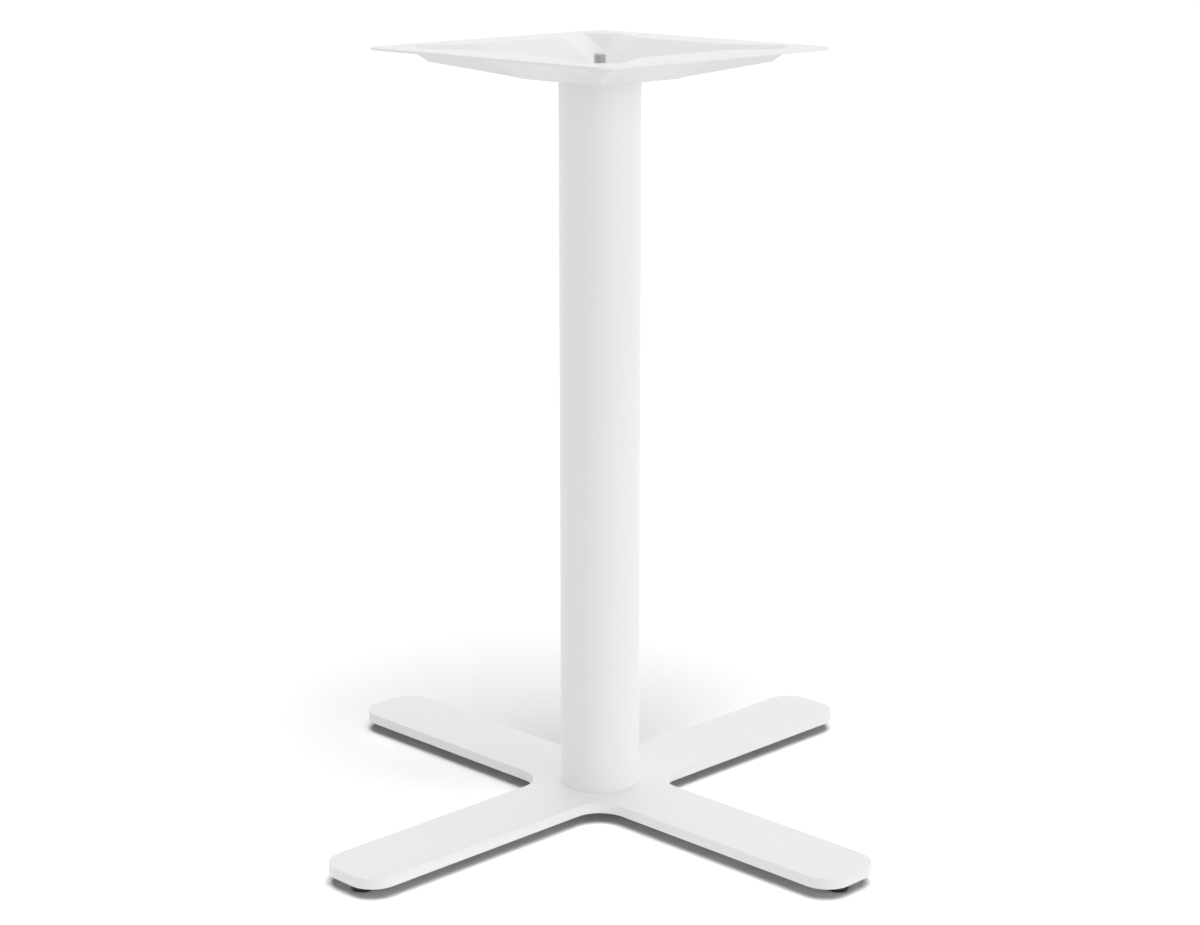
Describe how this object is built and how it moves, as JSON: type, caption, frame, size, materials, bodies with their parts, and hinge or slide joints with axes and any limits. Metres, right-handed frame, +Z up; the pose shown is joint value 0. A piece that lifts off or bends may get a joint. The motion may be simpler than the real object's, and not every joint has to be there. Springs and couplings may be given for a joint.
{
  "type": "four star table base",
  "caption": "Pedestal table base: flat cross-shaped plate on levelling feet, round column and square pressed top plate with a star-shaped pan, in white coated steel.",
  "frame": {"origin": "on the floor under the column's axis", "axes": "+Z up along the column, arms along X and Y"},
  "size_m": [0.644, 0.644, 0.728],
  "materials": {
    "white_coat": "satin white powder coat",
    "plated_steel": "dull zinc plating",
    "black_plastic": "matt moulded"
  },
  "bodies": {
    "base": {"base_plate": "white_coat", "column_tube": "white_coat", "top_plate": "white_coat", "base_centring_ring": "plated_steel", "top_centring_ring": "plated_steel", "tie_rod": "plated_steel", "top_washer": "plated_steel", "top_nut": "plated_steel", "bottom_washer": "plated_steel", "bottom_nut": "plated_steel"},
    "foot_right": {"foot_pad_right": "black_plastic", "foot_stud_right": "plated_steel"},
    "foot_back": {"foot_pad_back": "black_plastic", "foot_stud_back": "plated_steel"},
    "foot_left": {"foot_pad_left": "black_plastic", "foot_stud_left": "plated_steel"},
    "foot_front": {"foot_pad_front": "black_plastic", "foot_stud_front": "plated_steel"}
  },
  "joints": [
    {"name": "foot_right_level", "type": "slide", "parent": "base", "child": "foot_right", "axis": [0, 0, -1], "range_m": [0, 0.004]},
    {"name": "foot_back_level", "type": "slide", "parent": "base", "child": "foot_back", "axis": [0, 0, -1], "range_m": [0, 0.004]},
    {"name": "foot_left_level", "type": "slide", "parent": "base", "child": "foot_left", "axis": [0, 0, -1], "range_m": [0, 0.004]},
    {"name": "foot_front_level", "type": "slide", "parent": "base", "child": "foot_front", "axis": [0, 0, -1], "range_m": [0, 0.004]}
  ]
}
